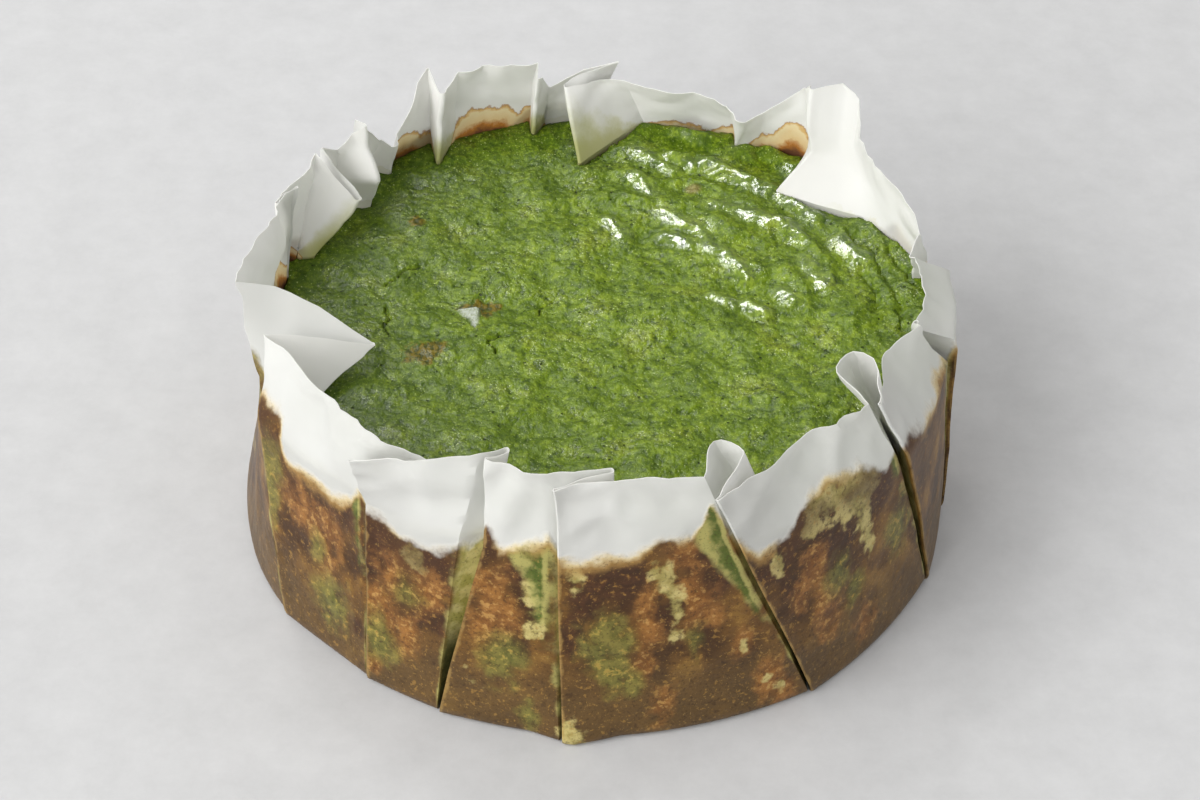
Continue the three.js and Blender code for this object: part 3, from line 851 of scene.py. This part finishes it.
def custard_skin():
    """Baked green custard: a moist, softly curdled skin with fine pores, that glints where it is wet.
    Painted shade darkens it to the left, in the cracks and in part along the paper; its whitish specks and
    its blister are painted highlights.
    """
    material, tree, shader, place, known = start_material(
        "baked_green_custard",
        {"IOR": 1.4, "Specular IOR Level": 0.12, "Coat Roughness": 0.18, "Coat IOR": 1.3},
        marks=("edge", "amber", "pink", "wet", "painted_shade", "crack", "torn"))
    across = add_node(tree, "Mapping", {"Vector": place, "Scale": (1.25, 1, 1)})
    cloud, curd, grain, fine, soft = (
        add_node(tree, "TexNoise",
                 {"Vector": at, "Scale": per_mm(size), "Detail": detail, "Roughness": rough})
        for at, size, detail, rough in (
            (place, 8, 3, 0.5), (across, 2.4, 4, 0.65), (across, 1.3, 3, 0.6), (across, 0.5, 1, 0.6),
            (place, 1.5, 1, 0.4)))
    pores = add_node(tree, "TexVoronoi", {"Vector": place, "Scale": per_mm(2.6), "Randomness": 1.0})
    green = add_node(tree, "ValToRGB", {0: cloud}, stops=[
        (0.32, "#4f6609"), (0.45, "#5a710c"), (0.55, "#627910"), (0.7, "#728116")])
    for value, start, end, strength, code in (
            (curd, 0.5, 0.33, 0.8, "#324804"), (curd, 0.52, 0.67, 0.6, "#869a24"),
            # Darker green within 14 mm of the paper: partly the skin's own darker rim, partly painted shade
            # along the paper.
            # Painted shade, darker and greyer with a greyish painted sheen, most to the left.
            (known["edge"], 14, 1, 0.4, "#364c13"), (known["painted_shade"], 0.0, 0.8, 0.45, "#3c4f20"),
            # Painted shade in the cracks, which are too narrow for the mesh to shade.
            (known["crack"], 0.2, 0.9, 0.75, "#192408")):
        green = paint_over(tree, green, code, value, start, end, strength)
    patch = add_node(tree, "MapRange", {0: cloud, 1: 0.46, 2: 0.6, 3: 0.6, 4: 1.0}, **SOFT)
    for value, start, end, strength, code in (
            (grain, 0.5, 0.35, 0.55, "#263a04"), (grain, 0.52, 0.66, 0.4, "#8ea228"),
            (fine, 0.46, 0.32, 0.3, "#1f3005"), (fine, 0.62, 0.7, 0.3, "#aebd50"),
            # Whitish specks: painted glints of the wet skin.
            (fine, 0.7, 0.75, 0.6, "#d5dca8")):
        share = add_node(tree, "MapRange", {0: value, 1: start, 2: end, 4: strength}, **SOFT)
        share = add_node(tree, "Math", {0: share, 1: patch}, operation="MULTIPLY")
        green = add_node(tree, "Mix", {0: share, 6: green, 7: code}, **PAINT)
    brown = add_node(tree, "Math", {0: curd, 1: 2.2, 2: known["amber"]}, **SCALE_ADD)
    burnt = paint_over(tree, "#3a3c06", "#6c5a02", grain, 0.4, 0.56)
    green = paint_over(tree, green, burnt, brown, 1.15, 1.6, 0.92)
    green = paint_over(tree, green, "#846e41", known["pink"], 0.0, 0.7, 0.6)
    pit = add_node(tree, "MapRange", {0: pores, 1: 0.14, 2: 0.06, 4: 0.8}, **SOFT)
    sparse = add_node(tree, "MapRange", {0: curd, 1: 0.55, 2: 0.47}, **SOFT)
    pit = add_node(tree, "Math", {0: pit, 1: sparse}, operation="MULTIPLY")
    green = add_node(tree, "Mix", {0: pit, 6: green, 7: "#162007"}, **PAINT)
    # The blister's facet is painted pale grey-green as a highlight.
    painted_blister_highlight = paint_over(tree, "#8b9376", "#a4aa9c", fine, 0.3, 0.6)
    green = add_node(tree, "Mix", {0: known["torn"], 6: green, 7: painted_blister_highlight}, **PAINT)
    gloss = add_node(tree, "MapRange", {0: cloud, 1: 0.46, 2: 0.62, 3: 0.0, 4: 0.14}, **SOFT)
    gloss = add_node(tree, "Math", {0: gloss, 1: known["wet"]}, operation="MAXIMUM")
    rough = add_node(tree, "MapRange", {0: curd, 1: 0.3, 2: 0.7, 3: 0.35, 4: 0.55})
    relief = soft
    for value, share in ((grain, 0.4), (curd, 1.2), (pit, -0.9)):
        relief = add_node(tree, "Math", {0: value, 1: share, 2: relief}, **SCALE_ADD)
    calm = add_node(tree, "MapRange", {0: known["wet"], 3: 1.0, 4: 0.45})
    bump = add_node(tree, "Bump", {"Height": relief, "Distance": 0.4 * MM, "Strength": calm})
    for socket, value in (("Base Color", green), ("Coat Weight", gloss), ("Roughness", rough),
                          ("Normal", bump), ("Coat Normal", bump)):
        tree.links.new(value, shader.inputs[socket])
    return material


def parchment_outside():
    """Baking parchment from outside: matt, white and a little see-through above, and below soaked with fat,
    so that the browned crust shows through it as mottled browns, with olive and pale yellow where the crust
    held off the paper. Its folds are worn pale. Painted shade darkens the seams and the low part of each
    fold's pocket, and its white is a little greyer than inside, also as painted shade."""
    material, tree, shader, place, known = start_material(
        "baking_parchment_outside", {"IOR": 1.45, "Specular IOR Level": 0.35},
        marks=("soak", "strip", "seam", "fold", "fin", "pale", "green", "rust", "dark"))
    height = add_node(tree, "SeparateXYZ", {0: place}, out="Z")
    ragged, broad, blotch, mottle, fleck, speck = (
        add_node(tree, "TexNoise",
                 {"Vector": place, "Scale": per_mm(size), "Detail": detail, "Roughness": rough})
        for size, detail, rough in (
            (6.5, 4, 0.55), (16, 2, 0.45), (8, 2, 0.45), (3, 3, 0.5), (1.4, 3, 0.6), (0.6, 2, 0.6)))
    deep = add_node(tree, "Math", {0: ragged, 1: RAGGED, 2: -RAGGED / 2}, **SCALE_ADD)
    deep = add_node(tree, "Math", {0: deep, 1: known["soak"]}, operation="ADD")
    wet = add_node(tree, "MapRange", {0: deep, 1: -1.6, 2: 1.0}, **SOFT)
    crust = add_node(tree, "ValToRGB", {0: blotch}, stops=[
        (0.34, "#3f270e"), (0.45, "#543815"), (0.55, "#67471c"), (0.68, "#826029")])
    crust = paint_over(tree, crust, "#574325", height, 26 * MM, 8 * MM, 0.75)
    shake = add_node(tree, "Math", {0: blotch, 1: 1.3, 2: mottle}, **SCALE_ADD)
    shake = add_node(tree, "Math", {0: shake, 1: 1.5, 2: -1.72}, **SCALE_ADD)
    torn = add_node(tree, "Math", {0: fleck, 1: 0.4, 2: mottle}, **SCALE_ADD)
    torn = add_node(tree, "Math", {0: torn, 1: 2.6, 2: -1.82}, **SCALE_ADD)
    for name, edge, start, end, strength, low_code, high_code, dotted, dot_code in (
            ("dark", shake, -0.3, 0.5, 0.9, "#341e0e", "#452914", 0.25, "#7c5226"),
            ("rust", shake, -0.3, 0.8, 0.85, "#74491d", "#91622d", 0.6, "#c09457"),
            ("green", shake, -0.3, 0.8, 0.75, "#545924", "#747134", 0.6, "#a59a46"),
            ("pale", torn, -0.25, 0.45, 0.88, "#988d50", "#bdae70", 0.3, "#867540")):
        colour = paint_over(tree, low_code, high_code, mottle, 0.4, 0.62)
        colour = paint_over(tree, colour, dot_code, fleck, 0.54, 0.64, dotted)
        reach = add_node(tree, "Math", {0: edge, 1: known[name]}, operation="ADD")
        crust = paint_over(tree, crust, colour, reach, start, end, strength)
    for start, end, strength, code in ((0.42, 0.33, 0.5, "#2f1c0b"), (0.59, 0.68, 0.4, "#a67e3c")):
        crust = paint_over(tree, crust, code, fleck, start, end, strength)
    patchy = add_node(tree, "MapRange", {0: broad, 1: 0.4, 2: 0.6}, **SOFT)
    band = add_node(tree, "MapRange", {0: deep, 1: 12, 2: 4, 4: 0.7}, **SOFT)
    band = add_node(tree, "Math", {0: band, 1: patchy}, operation="MULTIPLY")
    crust = add_node(tree, "Mix", {0: band, 6: crust, 7: "#422714"}, **PAINT)
    strip = add_node(tree, "Math", {0: mottle, 1: 9.0, 2: known["seam"]}, **SCALE_ADD)
    strip = paint_over(tree, "#46591a", "#a59f5c", strip, 6.0, 9.5)
    beside = add_node(tree, "Math", {0: ragged, 1: RAGGED, 2: known["strip"]}, **SCALE_ADD)
    crust = paint_over(tree, crust, strip, beside, 2.8, 5.0, 0.85)
    tan = paint_over(tree, "#cdbb90", "#97753f", deep, 0.2, 2.2)
    fringe = add_node(tree, "Math", {0: patchy, 1: -3.8, 2: 3.4}, **SCALE_ADD)
    fringe = add_node(tree, "Math", {0: fringe, 1: deep}, operation="SUBTRACT")
    crust = paint_over(tree, crust, tan, fringe, -0.8, 2.0, 0.85)
    pocket = paint_over(tree, "#9a9552", "#c4ba80", mottle, 0.4, 0.62)
    # Lower in the fold's pocket the paper is painted darker: painted shade.
    pocket = paint_over(tree, pocket, "#32361a", height, 28 * MM, 14 * MM)
    crust = paint_over(tree, crust, pocket, known["fin"], 0.0, 0.3, 0.85)
    # Painted shadow in the slit along each seam.
    crust = paint_over(tree, crust, "#1e230d", known["seam"], 1.5, 0.5, 0.85)
    worn = add_node(tree, "Math", {0: mottle, 1: 2.4, 2: known["fold"]}, **SCALE_ADD)
    crust = paint_over(tree, crust, "#a3854c", worn, 1.7, 1.0, 0.5)
    for start, end, strength, code in ((0.46, 0.3, 0.4, "#351f0c"), (0.6, 0.75, 0.35, "#b8934f")):
        crust = paint_over(tree, crust, code, speck, start, end, strength)
    cloudy = add_node(tree, "TexNoise", {"Vector": place, "Scale": per_mm(13), "Detail": 2})
    # The outer white is a little greyer than the inner white: painted shade on the side that faces the
    # lamps.
    white = add_node(tree, "Mix", {0: cloudy, 6: "#dededa", 7: "#ececea"}, **PAINT)
    colour = add_node(tree, "Mix", {0: wet, 6: white, 7: crust}, **PAINT)
    rough = add_node(tree, "MapRange", {0: wet, 3: 0.6, 4: 0.42})
    relief = add_node(tree, "Math", {0: mottle, 1: 0.3, 2: blotch}, **SCALE_ADD)
    relief = add_node(tree, "Math", {0: relief, 1: wet}, operation="MULTIPLY")
    bump = add_node(tree, "Bump", {"Height": relief, "Distance": 1.2 * MM, "Strength": 0.5})
    for socket, value in (("Base Color", colour), ("Roughness", rough), ("Normal", bump)):
        tree.links.new(value, shader.inputs[socket])
    dry = add_node(tree, "MapRange", {0: wet, 3: SEE_THROUGH, 4: 0.0})
    let_light_through(tree, shader, white, dry)
    return material


def parchment_inside():
    """Baking parchment from inside: white and a little see-through, with caramel left on it in patches just
    above the cake, darkest along the cake and with a thin dark line along their upper edge."""
    material, tree, shader, place, known = start_material(
        "baking_parchment_inside", {"IOR": 1.45, "Roughness": 0.6, "Specular IOR Level": 0.3},
        marks=("residue", "fin", "tint"))
    height = add_node(tree, "SeparateXYZ", {0: place}, out="Z")
    ragged = add_node(tree, "TexNoise",
                      {"Vector": place, "Scale": per_mm(5), "Detail": 6, "Roughness": 0.65})
    cloudy = add_node(tree, "TexNoise", {"Vector": place, "Scale": per_mm(16), "Detail": 2})
    white = add_node(tree, "Mix", {0: cloudy, 6: "#ebeae6", 7: "#f3f3f0"}, **PAINT)
    above = add_node(tree, "Math", {0: height, 1: 1 / MM, 2: -SHOULDER}, **SCALE_ADD)
    shake = add_node(tree, "Math", {0: ragged, 1: RAGGED, 2: -RAGGED / 2}, **SCALE_ADD)
    near = add_node(tree, "Math", {0: above, 1: shake}, operation="ADD")
    tint = add_node(tree, "Math", {0: near, 1: known["tint"]}, operation="DIVIDE")
    tint = add_node(tree, "MapRange", {0: tint, 1: 1, 2: 0.1, 4: 0.9}, **SOFT)
    taken = add_node(tree, "MapRange", {0: known["tint"], 1: 0.2, 2: 0.9}, **SOFT)
    tint = add_node(tree, "Math", {0: tint, 1: taken}, operation="MULTIPLY")
    tint_code = add_node(tree, "Mix", {0: known["fin"], 6: "#d6d2a8", 7: "#b3b46a"}, **PAINT)
    colour = add_node(tree, "Mix", {0: tint, 6: white, 7: tint_code}, **PAINT)
    mark = add_node(tree, "Math", {0: known["residue"], 1: shake}, operation="ADD")
    caramel = add_node(tree, "MapRange", {0: mark, 1: 0, 2: 8})
    caramel = add_node(tree, "ValToRGB", {0: caramel}, stops=[
        (0.0, "#ecdcb8"), (0.05, "#9c5a0c"), (0.11, "#dcb468"), (0.22, "#f0dfb4"), (0.55, "#ead09a"),
        (0.72, "#c07c1c"), (0.9, "#6e3a04")])
    colour = paint_over(tree, colour, caramel, mark, 0, 0.8, 0.95)
    tree.links.new(colour, shader.inputs["Base Color"])
    let_light_through(tree, shader, colour, SEE_THROUGH)
    return material


# The camera of the photograph: its lens and sensor, its distance from the point in the cake that it looks
# at, that point's height, and the degrees that it looks down and leans by
LENS = 90
SENSOR = 36
CAMERA_DISTANCE = 626.3
AIM_HEIGHT = 25.4
LOOK_DOWN = 40.22
CAMERA_LEAN = 1.0
# Width of the floor in metres, and how many millimetres it lies below the paper
FLOOR_SIZE = 6
FLOOR_DROP = 0.2
# Edges flatter than this many degrees are shaded smooth
SMOOTH_ANGLE = 35


def add_camera():
    """The camera of the photograph."""
    data = bpy.data.cameras.new("photo_camera")
    data.lens = LENS
    data.sensor_width = SENSOR
    camera = bpy.data.objects.new("photo_camera", data)
    bpy.context.scene.collection.objects.link(camera)
    down = math.radians(LOOK_DOWN)
    back, up = CAMERA_DISTANCE * math.cos(down), CAMERA_DISTANCE * math.sin(down)
    place = Vector((0, -back, AIM_HEIGHT + up)) * MM
    tilt = Matrix.Rotation(math.pi / 2 - down, 4, "X") @ Matrix.Rotation(math.radians(CAMERA_LEAN), 4, "Z")
    camera.matrix_world = Matrix.Translation(place) @ tilt
    bpy.context.scene.camera = camera


def add_light(name, azimuth, elevation, distance, size, power):
    """A round soft light aimed at the cake from a direction; its distance and size are in metres."""
    data = bpy.data.lights.new(name, "AREA")
    data.shape = "DISK"
    data.size = size
    data.energy = power
    light = bpy.data.objects.new(name, data)
    bpy.context.scene.collection.objects.link(light)
    across = polar(azimuth, distance * math.cos(math.radians(elevation)))
    light.location = (across.real, across.imag, distance * math.sin(math.radians(elevation)))
    light.rotation_euler = (-light.location).to_track_quat("-Z", "Y").to_euler()
    return light


def add_studio():
    """A pale floor, even light all round, large soft lights from the left, and a small one for glints."""
    clear_selection()
    bpy.ops.mesh.primitive_plane_add(size=FLOOR_SIZE, location=(0, 0, -FLOOR_DROP * MM))
    floor = bpy.context.object
    floor.name = "floor"
    material, tree, shader, place, _ = start_material("pale_plaster", {"Roughness": 0.85})
    cloudy = add_node(tree, "TexNoise",
                      {"Vector": place, "Scale": per_mm(12), "Detail": 7, "Roughness": 0.75})
    pale = add_node(tree, "Mix", {0: cloudy, 6: "#acacac", 7: "#c7c7c7"}, **PAINT)
    tree.links.new(pale, shader.inputs["Base Color"])
    floor.data.materials.append(material)
    add_light("window_light", azimuth=202, elevation=44, distance=4.0, size=2.4, power=84)
    add_light("front_fill", azimuth=234, elevation=24, distance=4.0, size=2.4, power=94)
    glint = add_light("glint_light", azimuth=122, elevation=57, distance=1.3, size=0.4, power=34)
    glint.visible_diffuse = False
    world = bpy.data.worlds.new("studio")
    world.use_nodes = True
    sky = world.node_tree.nodes["Background"].inputs
    sky["Color"].default_value = linear("#fafafa")
    sky["Strength"].default_value = 0.82
    bpy.context.scene.world = world
    bpy.context.scene.view_settings.view_transform = "Standard"


def finish_piece(piece, node):
    """Smooth shading, and the CAD node that the piece stands for."""
    clear_selection()
    bpy.context.view_layer.objects.active = piece
    piece.select_set(True)
    bpy.ops.object.shade_smooth_by_angle(angle=math.radians(SMOOTH_ANGLE))
    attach(piece, "root")
    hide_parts(node)


add_camera()
add_studio()
sheet_places, sheet_known, sheet_rows = sheet_grid()
finish_piece(make_paper_case(sheet_places, sheet_known, sheet_rows), "paper_case")
finish_piece(make_cheesecake(sheet_places, sheet_rows), "cheesecake")
